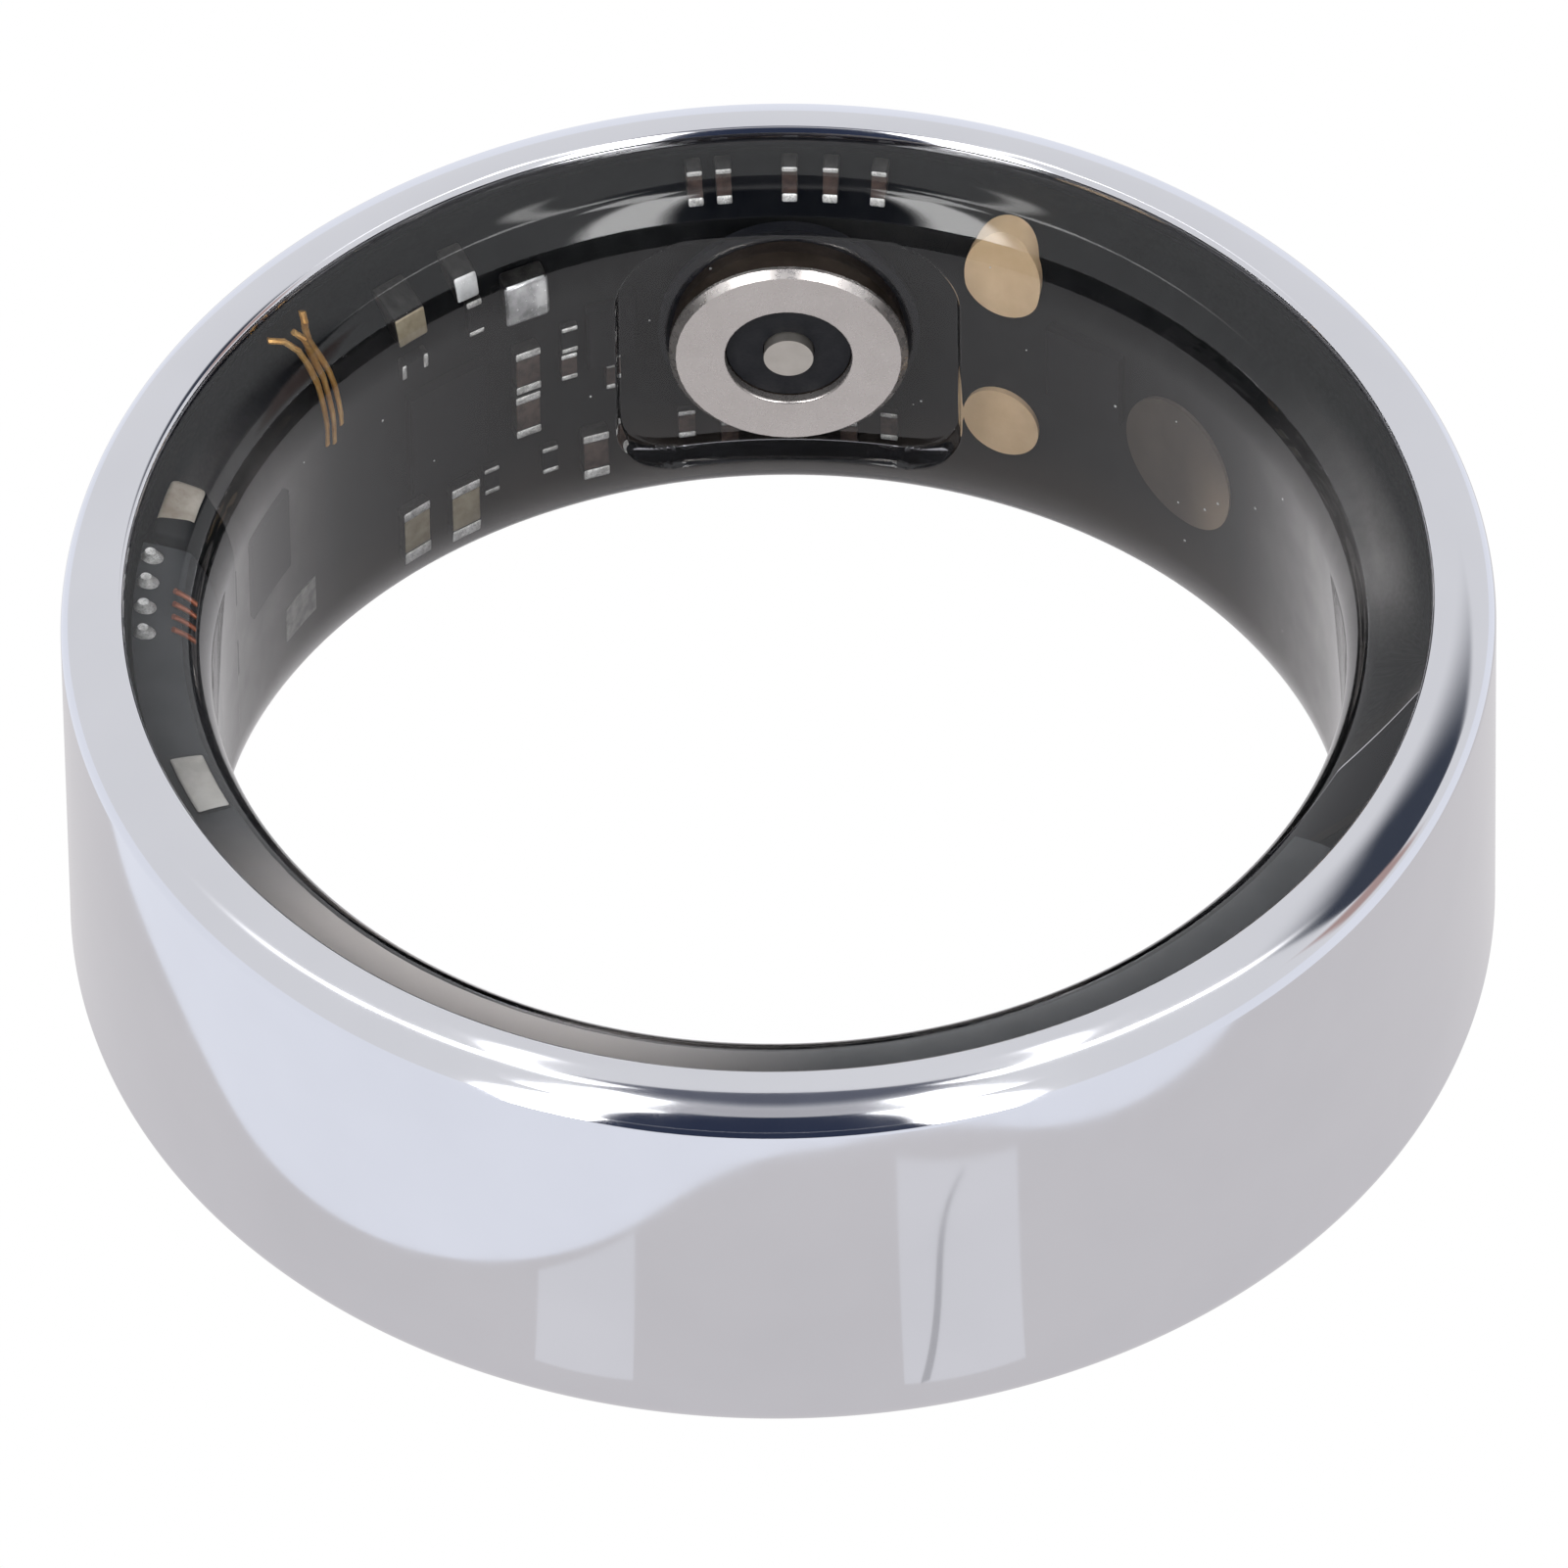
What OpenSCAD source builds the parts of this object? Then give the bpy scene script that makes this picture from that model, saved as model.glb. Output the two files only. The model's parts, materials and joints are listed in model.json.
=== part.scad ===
// Smart ring: a polished metal band round a clear smoked moulding, which holds a
// wrapped circuit board, a curved cell and a coaxial charging contact.
// The origin is the middle of the finger bore, Z is the ring's axis and the charging
// contact is at +Y. Angles run counter-clockwise from +X, seen from +Z.

/* [Ring] */
// Diameter of the finger bore
bore_d = 19.35; // [15:0.05:23]
// Width of the ring along the finger
ring_w = 8; // [7.4:0.1:10]

/* [Metal band] */
// Thickness of the wall between the lips
wall_t = 0.8; // [0.6:0.05:1.2]
// Height of each lip inside the wall
lip_rise = 0.3; // [0.15:0.05:0.35]
// Length of each lip along the finger
lip_w = 0.5; // [0.35:0.05:0.6]
// Radius of the outer edge
edge_r = 0.44; // [0.3:0.02:0.5]
// Width of the flat on each end face
flat_w = 0.18; // [0.1:0.02:0.24]
// Slope of the end face beside the flat
inner_slope = 10; // [4:1:14]
// Slope of the end face where the outer edge starts
outer_slope = 32; // [20:1:36]

/* [Moulding] */
// Thickness of resin between the bore and the parts
face_t = 0.835; // [0.7:0.005:1.2]
// Radius of the round edge at each end of the bore
comfort_edge_r = 0.95; // [0.6:0.05:1.1]
// Slope of the comfort crown where that edge ends
comfort_slope = 34; // [20:1:36]
// Room in the recess on each side of the contact
recess_side = 0.925; // [0.5:0.025:1.2]
// Room in the recess above and below the contact
recess_end = 0.675; // [0.4:0.025:0.8]
// Depth of the recess
recess_depth = 0.4; // [0.2:0.05:0.45]
// Corner radius of the recess
recess_corner = 1.25; // [0.6:0.05:1.6]

/* [Contact] */
// Outer diameter of the ring electrode
contact_d = 4.15; // [3.6:0.05:4.4]
// Inner diameter of the ring electrode
contact_hole_d = 2.2; // [1.8:0.05:2.4]
// Height of the electrode faces above the middle of the bore wall
contact_proud = 0.14; // [0.05:0.01:0.2]
// Edge break on the ring electrode
contact_edge = 0.12; // [0.05:0.01:0.18]
// Diameter of the centre pin
pin_d = 0.86; // [0.6:0.02:1.2]
// Depth of the insulator's face behind the electrode faces
insulator_drop = 0.2; // [0.1:0.02:0.4]
// Width of the insulator's base outside the ring electrode
base_rim = 0.275; // [0.2:0.025:0.4]
// Thickness of the insulator's base
base_t = 0.26; // [0.2:0.02:0.28]

/* [Board] */
// Thickness of the flexible board
board_t = 0.2; // [0.12:0.02:0.22]
// Room between the board's edge and each lip
board_inset = 0.05; // [0.04:0.01:0.2]
// Angle where the board starts
board_start_angle = -20; // [-20:1:30]
// Angle where the board ends
board_end_angle = 192; // [186:1:196]
// Thickness of the insulating film behind the board
film_t = 0.09; // [0.05:0.01:0.1]
// Tallest part that the board may carry
part_room = 0.59; // [0.54:0.01:0.62]

/* [Cell] */
// Thickness of the curved cell
cell_t = 0.75; // [0.6:0.05:0.8]
// Room between the cell's edge and the board's edge
cell_inset = 0.35; // [0.3:0.05:0.8]
// Angle where the cell starts
cell_start_angle = 171; // [171:1:172]
// Angle where the cell ends
cell_end_angle = 330; // [300:1:332]

/* [Parts on the board] */
// Length of a medium chip part
chip_l = 1; // [0.9:0.02:1]
// Width of a medium chip part
chip_w = 0.5; // [0.4:0.02:0.54]
// Height of a medium chip part
chip_h = 0.54; // [0.3:0.02:0.54]
// Length of a small chip part
small_l = 0.62; // [0.5:0.02:0.66]
// Width of a small chip part
small_w = 0.32; // [0.25:0.01:0.36]
// Height of a small chip part
small_h = 0.3; // [0.2:0.02:0.4]
// Length of a bulk capacitor
bulk_l = 1.14; // [1:0.02:1.2]
// Width of a bulk capacitor
bulk_w = 0.62; // [0.5:0.02:0.66]
// Diameter of the two light windows
window_d = 1.5; // [1.2:0.05:1.6]
// Diameter of the photodiode window
diode_d = 2.7; // [2.2:0.05:2.9]
// Height of the windows above the board
window_h = 0.2; // [0.1:0.02:0.3]
// Diameter of an enamelled wire
wire_d = 0.13; // [0.1:0.01:0.15]

/* [Hidden] */

$fn = 180;
bore_r = bore_d / 2;
half_w = ring_w / 2;
fit_gap = 0.02;       // clearance between pieces that are cast or stuck together
overrun = 0.3;        // how far a cut runs past what it cuts
curve_steps = 12;     // facets in each rounded edge

// Radii of the layers, from the bore outwards
cavity_r = bore_r + face_t;
board_r = cavity_r + fit_gap + part_room;
board_out_r = board_r + board_t;
film_in_r = board_out_r + fit_gap;
film_out_r = film_in_r + film_t;
channel_r = film_out_r + fit_gap;
lip_r = channel_r - lip_rise;
rim_r = lip_r - fit_gap;
outer_r = channel_r + wall_t;
cell_out_r = board_r - 3 * fit_gap;
cell_in_r = cell_out_r - cell_t;

// Heights along the finger
channel_h = half_w - lip_w;
board_half = channel_h - board_inset;
cell_half = board_half - cell_inset;

// The pieces end short of each other along the board by these angles
margin_angle = 2;
cavity_end_angle = cell_end_angle + margin_angle;

// Charging contact
contact_r = contact_d / 2;
base_r = contact_r + base_rim;
recess_w = contact_d + 2 * recess_side;
recess_h = contact_d + 2 * recess_end;
contact_face = bore_r - contact_proud;
base_face = cavity_r + fit_gap;
base_back = base_face + base_t;
leg_d = 0.4;
leg_x = (contact_r + contact_hole_d / 2) / 2;
pin_foot_d = 1.3;

// Chips, each with its width round the ring, its length along the finger and its height
main_w = 1.75;
main_l = 2.3;
charge_w = 1.0;
charge_l = 1.4;
sensor_w = 1.6;
motion_w = 1.6;
motion_l = 1.8;
low_chip_h = 0.45;
crystal_w = 0.86;
crystal_l = 0.8;
filter_w = 0.66;
filter_l = 0.5;
terminal_w = 0.46;
terminal_l = 0.42;
edge_part_w = 0.28;
edge_part_h = 0.32;
bulk_h = 0.5;
pad_w = 1.05;
pad_l = 0.8;
pad_t = 0.06;
solder_d = 0.34;
solder_h = 0.26;
cap_share = 0.18;     // length of an end terminal as a share of its part
corner_share = 0.1;   // edge break of a moulded chip as a share of its height

// Places on the board: [angle, height as a share of half the board's width]
main_share = [125.4, -0.13];
charge_share = [107.3, 0.1];
motion_share = [153, 0.06];
sensor_share = [59.6, 0.1];
crystal_share = [116.2, 0.5];
filter_share = [129.3, 0.66];
terminal_share = [122.5, 0.71];
test_pad_share = [146.4, -0.655];
diode_share = [47.8, -0.16];
window_shares = [[68.8, 0.51], [69, -0.475]];
bulk_shares = [[129.7, -0.72], [123.7, -0.75]];
chip_shares = [[116.4, 0.04], [116.5, -0.27], [109.4, -0.7]];
resistor_shares = [[121.7, 0.5], [111.7, 0.13], [120.4, -0.67], [114, -0.68]];
flat_resistor_share = [129.1, 0.41];

// Capacitors in the room between the board's upper edge and the contact's base
edge_start = 0.12;
edge_room_share = 0.65;
edge_l = edge_room_share * (board_half - base_r);
edge_share = (board_half - edge_start - edge_l / 2) / board_half;
edge_angles = [98.6, 95.9, 89.8, 86, 81.5];
edge_shares = [for (a = edge_angles) [a, edge_share]];

// Small capacitors under the contact lie midway between its base and the lower edge
under_angles = [99.9, 95.8, 84.5, 80.6];
function under_share(a) = let (x = board_r * sin(a - 90))
    -(sqrt(base_r * base_r - x * x) + board_half) / 2 / board_half;
charge_below_share = charge_share[1] - (charge_l / 2 + small_l / 2 + 2 * fit_gap) / board_half;
small_shares = concat([for (a = under_angles) [a, under_share(a)]],
    [[111.8, -0.06], [107.2, charge_below_share]]);

// Protection module at the cell's first end, and what lies on the cell's upper edge
module_start_angle = 163.2;
module_end_angle = cell_start_angle - 0.6;
module_low_share = 0.8;
module_inset = 0.08;
module_top = board_half - module_inset;
tab_w = 0.8;
tab_t = 0.1;
tab_low_share = -0.45;
tab_high_share = 0.1;
pad_angles = [172.7, 175.9, 179.1, 182.3];
block_start_angle = 199;
block_end_angle = 206.2;
block_inset = 0.05;
block_t = 0.56;
block_h = 0.22;

// Copper leads that cross the cell's upper inner edge
lead_angles = [177, 178.7, 180.4, 182.1];
lead_l = 0.4;
lead_lean = 45;
lead_off = (wire_d / 2 + 1.5 * fit_gap) * sin(lead_lean);

// Three wires from the upper edge down the board, in millimetres: [angle, distance below
// the board's edge, distance from the board]
wire_routes = [
    [[144, 0.1, 0.12], [143, 0.15, 0.3], [142.2, 0.45, 0.44], [141.7, 0.85, 0.4],
     [141.3, 1.35, 0.24], [141.1, 1.95, 0.12], [141.1, 2.45, 0.1]],
    [[141.6, 0.1, 0.3], [141.2, 0.25, 0.44], [140.7, 0.65, 0.38], [140.3, 1.15, 0.22],
     [140.1, 1.75, 0.12], [140, 2.55, 0.1]],
    [[139.2, 0.1, 0.12], [139.6, 0.25, 0.22], [139.7, 0.5, 0.2], [139.4, 0.95, 0.12],
     [139, 1.55, 0.11], [138.9, 2.25, 0.1]]];
wire_sides = 8;

// End of the metal band: the outer edge is round, and a crown whose slope falls off
// joins it to the flat at the lip
crown_w = wall_t + lip_rise - flat_w - edge_r * (1 - sin(outer_slope));
function crown_fall(t) = crown_w * t * (tan(inner_slope) +
    (tan(outer_slope) - tan(inner_slope)) * t / 2);
edge_z = half_w - crown_fall(1) - edge_r * cos(outer_slope);
function band_points(side) = concat(
    [for (i = [0:curve_steps]) let (a = (90 - outer_slope) * i / curve_steps)
        [outer_r - edge_r * (1 - cos(a)), side * (edge_z + edge_r * sin(a))]],
    [for (i = [curve_steps - 1:-1:0]) let (t = i / curve_steps)
        [lip_r + flat_w + crown_w * t, side * (half_w - crown_fall(t))]]);

// Comfort curve of the moulding: the bore's edge is round, and a crown that flattens
// out towards the lip joins it to the band's end
comfort_w = rim_r - bore_r - comfort_edge_r * (1 - sin(comfort_slope));
function comfort_fall(t) = comfort_w * tan(comfort_slope) * t * t / 2;
comfort_z = half_w - comfort_fall(1) - comfort_edge_r * cos(comfort_slope);
function comfort_points(side) = concat(
    [for (i = [0:curve_steps]) let (a = (90 - comfort_slope) * i / curve_steps)
        [bore_r + comfort_edge_r * (1 - cos(a)),
            side * (comfort_z + comfort_edge_r * sin(a))]],
    [for (i = [curve_steps - 1:-1:0]) let (t = i / curve_steps)
        [rim_r - comfort_w * t, side * (half_w - comfort_fall(t))]]);
function reversed(list) = [for (i = [len(list) - 1:-1:0]) list[i]];

// Distance from the axis to the back of a flat part of width w that rests on the board
function seat(w) = sqrt(board_r * board_r - w * w / 4) - fit_gap;

// Places a child on the board: X round the ring, Y away from the finger, Z along it
module on_board(place, w) {
    rotate([0, 0, place[0] - 90])
        translate([0, seat(w), place[1] * board_half])
            children();
}

// A box that stands on the board, centred on its place
module standing_box(w, h, l) {
    translate([-w / 2, -h, -l / 2]) cube([w, h, l]);
}

// A moulded chip: its upper edges are broken
module moulded_chip(w, h, l) {
    edge = corner_share * h;
    translate([0, 0, -l / 2]) linear_extrude(l)
        polygon([[-w / 2, 0], [-w / 2, edge - h], [edge - w / 2, -h],
            [w / 2 - edge, -h], [w / 2, edge - h], [w / 2, 0]]);
}

// The body of a chip part between its end terminals, and the two terminals
module chip_body(w, h, l) {
    standing_box(w - fit_gap, h - fit_gap, l * (1 - 2 * cap_share));
}
module chip_ends(w, h, l) {
    cap = l * cap_share;
    for (side = [-1, 1])
        translate([0, 0, side * (l - cap) / 2]) standing_box(w, h, cap);
}

// A sector of a ring: radii, heights and angles
module sector(r_in, r_out, z_low, z_high, a_start, a_end) {
    rotate([0, 0, a_start]) rotate_extrude(angle = a_end - a_start)
        translate([r_in, z_low]) square([r_out - r_in, z_high - z_low]);
}

// A rectangle with round corners, centred
module round_rect(w, h, r) {
    square([w - 2 * r, h], center = true);
    square([w, h - 2 * r], center = true);
    for (sx = [-1, 1], sy = [-1, 1])
        translate([sx * (w / 2 - r), sy * (h / 2 - r)]) circle(r, $fn = 32);
}

// A tube along points, one ring of sides at each
function unit(v) = v / norm(v);
function tangent(p, i) = unit(p[min(i + 1, len(p) - 1)] - p[max(i - 1, 0)]);
function ring_of(c, t, r, n) = let (u = unit(cross(t, [0.3, -0.2, 1])), v = cross(u, t))
    [for (k = [0:n - 1]) c + r * (cos(360 * k / n) * u + sin(360 * k / n) * v)];
module tube(p, r, n) {
    rings = [for (i = [0:len(p) - 1]) each ring_of(p[i], tangent(p, i), r, n)];
    last = (len(p) - 1) * n;
    sides = [for (i = [0:len(p) - 2], k = [0:n - 1]) let (a = i * n + k, b = i * n + (k + 1) % n)
        each [[a, b, b + n], [a, b + n, a + n]]];
    polyhedron(rings, concat(sides, [[for (k = [n - 1:-1:0]) k]], [[for (k = [0:n - 1]) last + k]]));
}
function wire_point(w) = let (r = board_r - w[2])
    [r * cos(w[0]), r * sin(w[0]), board_half - w[1]];

module outer_shell() {
    color("gainsboro") rotate_extrude()
        polygon(concat(band_points(1), [[lip_r, half_w], [lip_r, channel_h],
            [channel_r, channel_h], [channel_r, -channel_h], [lip_r, -channel_h],
            [lip_r, -half_w]], reversed(band_points(-1))));
}

module liner_blank() {
    step_h = channel_h - fit_gap;
    rotate_extrude()
        polygon(concat(comfort_points(1), [[rim_r, step_h], [film_out_r, step_h],
            [film_out_r, -step_h], [rim_r, -step_h]], reversed(comfort_points(-1))));
}

// Recess round the contact: drafted walls and a floor that follows the bore
module contact_recess() {
    draft = recess_depth / 2;
    run = recess_depth * 3;
    floor_r = bore_r + recess_depth;
    flare = 2 * draft * run / recess_depth;
    floor_w = recess_w - 2 * draft;
    floor_h = recess_h - 2 * draft;
    intersection() {
        cylinder(r = floor_r, h = ring_w, center = true);
        translate([0, floor_r, 0]) rotate([90, 0, 0])
            linear_extrude(run, scale = [1 + flare / floor_w, 1 + flare / floor_h],
                slices = 1, $fn = 0)
                round_rect(floor_w, floor_h, recess_corner - draft);
    }
}

module resin_liner() {
    cavity_half = board_half + fit_gap;
    bay_half = cell_half + fit_gap;
    color("dimgray") difference() {
        liner_blank();
        sector(cavity_r, outer_r, -cavity_half, cavity_half, board_start_angle - 1,
            cavity_end_angle);
        sector(cell_in_r - fit_gap, cavity_r + overrun, -bay_half, module_top + fit_gap,
            module_start_angle - 1, cell_end_angle + 1);
        leads(fit_gap);
        contact_recess();
        translate([0, bore_r - recess_depth, 0]) rotate([-90, 0, 0])
            cylinder(r = contact_r + fit_gap, h = outer_r - bore_r);
    }
}

module insulation_film() {
    color("goldenrod")
        sector(film_in_r, film_out_r, -board_half, board_half, board_start_angle,
            cell_end_angle);
}

module flex_board() {
    color("darkslategray")
        sector(board_r, board_out_r, -board_half, board_half, board_start_angle,
            board_end_angle);
}

module contact_ring() {
    hole_r = contact_hole_d / 2;
    color("silver") {
        translate([0, base_face, 0]) rotate([90, 0, 0]) rotate_extrude()
            polygon([[hole_r, 0], [contact_r, 0],
                [contact_r, base_face - contact_face - contact_edge],
                [contact_r - contact_edge, base_face - contact_face],
                [hole_r, base_face - contact_face]]);
        for (side = [-1, 1])
            translate([side * leg_x, base_face, 0]) rotate([-90, 0, 0])
                cylinder(d = leg_d, h = seat(2 * leg_x + leg_d) - base_face);
    }
}

module contact_insulator() {
    color("black") difference() {
        union() {
            translate([0, contact_face + insulator_drop, 0]) rotate([-90, 0, 0])
                cylinder(d = contact_hole_d - 2 * fit_gap,
                    h = base_back - contact_face - insulator_drop);
            translate([0, base_face + fit_gap, 0]) rotate([-90, 0, 0])
                cylinder(r = base_r, h = base_t - fit_gap);
        }
        translate([0, contact_face, 0]) rotate([-90, 0, 0])
            cylinder(d = pin_d + 2 * fit_gap, h = outer_r);
        for (side = [-1, 1])
            translate([side * leg_x, contact_face, 0]) rotate([-90, 0, 0])
                cylinder(d = leg_d + 2 * fit_gap, h = outer_r);
    }
}

module contact_pin() {
    foot = base_back + fit_gap;
    color("wheat") {
        translate([0, contact_face, 0]) rotate([-90, 0, 0])
            cylinder(d = pin_d, h = foot - contact_face);
        translate([0, foot, 0]) rotate([-90, 0, 0])
            cylinder(d = pin_foot_d, h = seat(pin_foot_d) - foot);
    }
}

module main_chip() {
    color("black") on_board(main_share, main_w) moulded_chip(main_w, low_chip_h, main_l);
}

module charge_chip() {
    color("black") on_board(charge_share, charge_w)
        moulded_chip(charge_w, low_chip_h, charge_l);
}

module motion_sensor() {
    color("black") on_board(motion_share, motion_w)
        moulded_chip(motion_w, low_chip_h, motion_l);
}

module sensor_chip() {
    color("black") on_board(sensor_share, sensor_w)
        moulded_chip(sensor_w, low_chip_h, sensor_w);
}

module crystal() {
    color("silver") on_board(crystal_share, crystal_w)
        moulded_chip(crystal_w, low_chip_h, crystal_l);
}

module ceramic_filter() {
    color("tan") on_board(filter_share, filter_w) standing_box(filter_w, bulk_h, filter_l);
}

module antenna_terminal() {
    color("whitesmoke") on_board(terminal_share, terminal_w)
        standing_box(terminal_w, bulk_h, terminal_l);
}

module bulk_capacitors() {
    color("tan") for (place = bulk_shares)
        on_board(place, bulk_w) chip_body(bulk_w, bulk_h, bulk_l);
}

module chip_capacitors() {
    color("rosybrown") for (place = chip_shares)
        on_board(place, chip_w) chip_body(chip_w, chip_h, chip_l);
}

module edge_capacitors() {
    color("rosybrown") for (place = edge_shares)
        on_board(place, edge_part_w) chip_body(edge_part_w, edge_part_h, edge_l);
}

module chip_resistors() {
    color("black") {
        for (place = resistor_shares)
            on_board(place, small_w) chip_body(small_w, small_h, small_l);
        on_board(flat_resistor_share, small_l)
            rotate([0, 90, 0]) chip_body(small_w, small_h, small_l);
    }
}

module small_capacitors() {
    color("rosybrown") for (place = small_shares)
        on_board(place, small_w) chip_body(small_w, small_h, small_l);
}

// The silver ends of every chip part
module end_terminals() {
    color("silver") {
        for (place = bulk_shares) on_board(place, bulk_w) chip_ends(bulk_w, bulk_h, bulk_l);
        for (place = chip_shares) on_board(place, chip_w) chip_ends(chip_w, chip_h, chip_l);
        for (place = edge_shares)
            on_board(place, edge_part_w) chip_ends(edge_part_w, edge_part_h, edge_l);
        for (place = concat(resistor_shares, small_shares))
            on_board(place, small_w) chip_ends(small_w, small_h, small_l);
        on_board(flat_resistor_share, small_l)
            rotate([0, 90, 0]) chip_ends(small_w, small_h, small_l);
    }
}

module light_windows() {
    color("burlywood") for (place = window_shares)
        on_board(place, window_d) rotate([90, 0, 0]) cylinder(d = window_d, h = window_h);
}

module photodiode_window() {
    color("darkgoldenrod") on_board(diode_share, diode_d)
        rotate([90, 0, 0]) cylinder(d = diode_d, h = window_h);
}

module test_pad() {
    color("cornsilk") on_board(test_pad_share, pad_w) standing_box(pad_w, pad_t, pad_l);
}

// Four soldered joints on the cell's upper edge
module solder_pads() {
    color("silver") for (a = pad_angles) rotate([0, 0, a])
        translate([cell_out_r - solder_d / 2 - fit_gap, 0, cell_half + fit_gap])
            cylinder(d1 = solder_d, d2 = solder_d / 2, h = solder_h);
}

module battery_cell() {
    color("slategray")
        sector(cell_in_r, cell_out_r, -cell_half, cell_half, cell_start_angle,
            cell_end_angle);
}

module cell_adhesive() {
    color("khaki") sector(cell_out_r + fit_gap, film_in_r - fit_gap, -cell_half, cell_half,
        board_end_angle + 1, cell_end_angle);
}

// Two flat tabs from the cell's end to the board
module cell_tabs() {
    color("lightgray") for (share = [tab_low_share, tab_high_share]) {
        z = share * cell_half;
        sector(cell_out_r - tab_t, cell_out_r, z, z + tab_w, module_start_angle - 2,
            cell_start_angle - 0.2);
    }
}

module protection_module() {
    color("tan") sector(cell_in_r, cell_out_r - tab_t - fit_gap,
        -module_low_share * cell_half, module_top, module_start_angle, module_end_angle);
}

module antenna_block() {
    block_r = cell_in_r + block_inset;
    color("antiquewhite") sector(block_r, block_r + block_t, cell_half + fit_gap,
        cell_half + fit_gap + block_h, block_start_angle, block_end_angle);
}

// Enamelled leads, and their slots in the moulding with some clearance
module leads(clearance) {
    for (a = lead_angles) rotate([0, 0, a])
        translate([cell_in_r - lead_off, 0, cell_half + lead_off]) rotate([0, lead_lean, 0])
            cylinder(d = wire_d + 2 * clearance, h = lead_l + 2 * clearance, center = true,
                $fn = 24);
}
module copper_leads() {
    color("chocolate") leads(0);
}

module enamel_wires() {
    color("peru") for (route = wire_routes)
        tube([for (w = route) wire_point(w)], wire_d / 2, wire_sides);
}

outer_shell();
resin_liner();
insulation_film();
flex_board();
contact_ring();
contact_insulator();
contact_pin();
main_chip();
charge_chip();
motion_sensor();
sensor_chip();
crystal();
ceramic_filter();
antenna_terminal();
bulk_capacitors();
chip_capacitors();
edge_capacitors();
chip_resistors();
small_capacitors();
end_terminals();
light_windows();
photodiode_window();
test_pad();
solder_pads();
battery_cell();
cell_adhesive();
cell_tabs();
protection_module();
antenna_block();
copper_leads();
enamel_wires();
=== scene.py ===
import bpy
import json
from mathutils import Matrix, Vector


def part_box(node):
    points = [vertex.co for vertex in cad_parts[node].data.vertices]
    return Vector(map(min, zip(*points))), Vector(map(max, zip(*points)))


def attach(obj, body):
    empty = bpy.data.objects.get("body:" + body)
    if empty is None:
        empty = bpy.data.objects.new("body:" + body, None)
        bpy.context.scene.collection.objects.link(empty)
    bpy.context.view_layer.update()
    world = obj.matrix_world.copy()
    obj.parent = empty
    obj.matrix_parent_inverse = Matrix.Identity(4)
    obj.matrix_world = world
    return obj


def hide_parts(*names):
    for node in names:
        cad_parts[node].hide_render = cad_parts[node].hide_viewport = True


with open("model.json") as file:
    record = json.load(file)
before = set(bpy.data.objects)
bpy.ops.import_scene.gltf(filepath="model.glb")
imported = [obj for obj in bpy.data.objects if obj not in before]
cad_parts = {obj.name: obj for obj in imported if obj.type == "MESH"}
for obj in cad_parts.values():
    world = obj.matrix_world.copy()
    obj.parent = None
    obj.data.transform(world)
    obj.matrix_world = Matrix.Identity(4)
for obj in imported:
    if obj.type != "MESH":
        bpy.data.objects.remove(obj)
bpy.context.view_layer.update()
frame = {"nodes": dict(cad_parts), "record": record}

import json
import math
import random

import bmesh
import bpy
from mathutils import Matrix, Vector

MM = 0.001
NODES = frame["nodes"]

# Driving sizes, in millimetres, read back from the frame where it holds them

OUTER_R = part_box("outer_shell")[1].x / MM
HALF_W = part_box("outer_shell")[1].z / MM
BORE_R = frame["record"]["mounts"][0]["dims"]["r_mm"]
LIP_T = 1.1                      # thickness of the band at each lip
WALL_T = 0.8                     # thickness of the band between the lips
LIP_W = 0.5                      # width of each lip
EDGE_R = 0.44                    # rounded outer edge of the band
FLAT_W = 0.18                    # flat beside the lip on each end face
LIP_SOFT = 0.16                  # rounded inner edge of each lip
INNER_SLOPE, OUTER_SLOPE = math.radians(10), math.radians(32)            # the crown's two ends
LEAD_IN_R, COMFORT_EDGE_R = 2.4, 0.85    # slow curve and round edge of the moulding
LEAD_IN_SLOPE, COMFORT_SLOPE = math.radians(66), math.radians(26)        # where each ends
RIM_DROP = 0.2                   # depth of the moulding's rim below the band's end
RECESS_W, RECESS_H, RECESS_DEPTH, RECESS_CORNER = 6.0, 5.5, 0.4, 1.25
RECESS_WALL = 0.2                # width of the recess's drafted wall
BOND = 0.02                      # the moulding is cast on the band and overlaps it by this
NEAR = 0.01                      # places closer than this count as one
LIP_R = OUTER_R - LIP_T
CHANNEL_R = OUTER_R - WALL_T
RIM_H = HALF_W - RIM_DROP

# How finely the two rings are divided

BAND_STEPS = 720                 # sections round the band
CURVE_STEPS = 24                 # points along each curve of a section
LIP_STEPS = 5                    # points along the lip's small round edge
BORE_ROWS = 132                  # rows of points along the moulding's bore wall
RECESS_TURNS = (70, 110)         # the sections are finer here, in degrees
FINE_TURN, COARSE_TURN = 0.125, 0.75
RECESS_SINE = 0.9                # the recess lies where the turn's sine is above this

scene = bpy.context.scene


# Mesh helpers

def between(ends, share):
    """The value at a share of the way between two ends."""
    return ends[0] + (ends[1] - ends[0]) * share


def add_piece(name, mesh):
    """Links a new mesh as a piece that rides on the ring's one body."""
    piece = bpy.data.objects.new(name, mesh)
    scene.collection.objects.link(piece)
    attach(piece, "root")
    return piece


def smooth(bm, angle):
    """Smooth shading with sharp edges past an angle in degrees."""
    for face in bm.faces:
        face.smooth = True
    for edge in bm.edges:
        if len(edge.link_faces) == 2:
            edge.smooth = edge.calc_face_angle(0.0) < math.radians(angle)


def arc(cx, cz, radius, start, end, steps):
    """Points of an arc in the section plane, angles in degrees."""
    points = []
    for i in range(steps + 1):
        t = math.radians(between((start, end), i / steps))
        points.append((cx + radius * math.cos(t), cz + radius * math.sin(t)))
    return points


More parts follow.
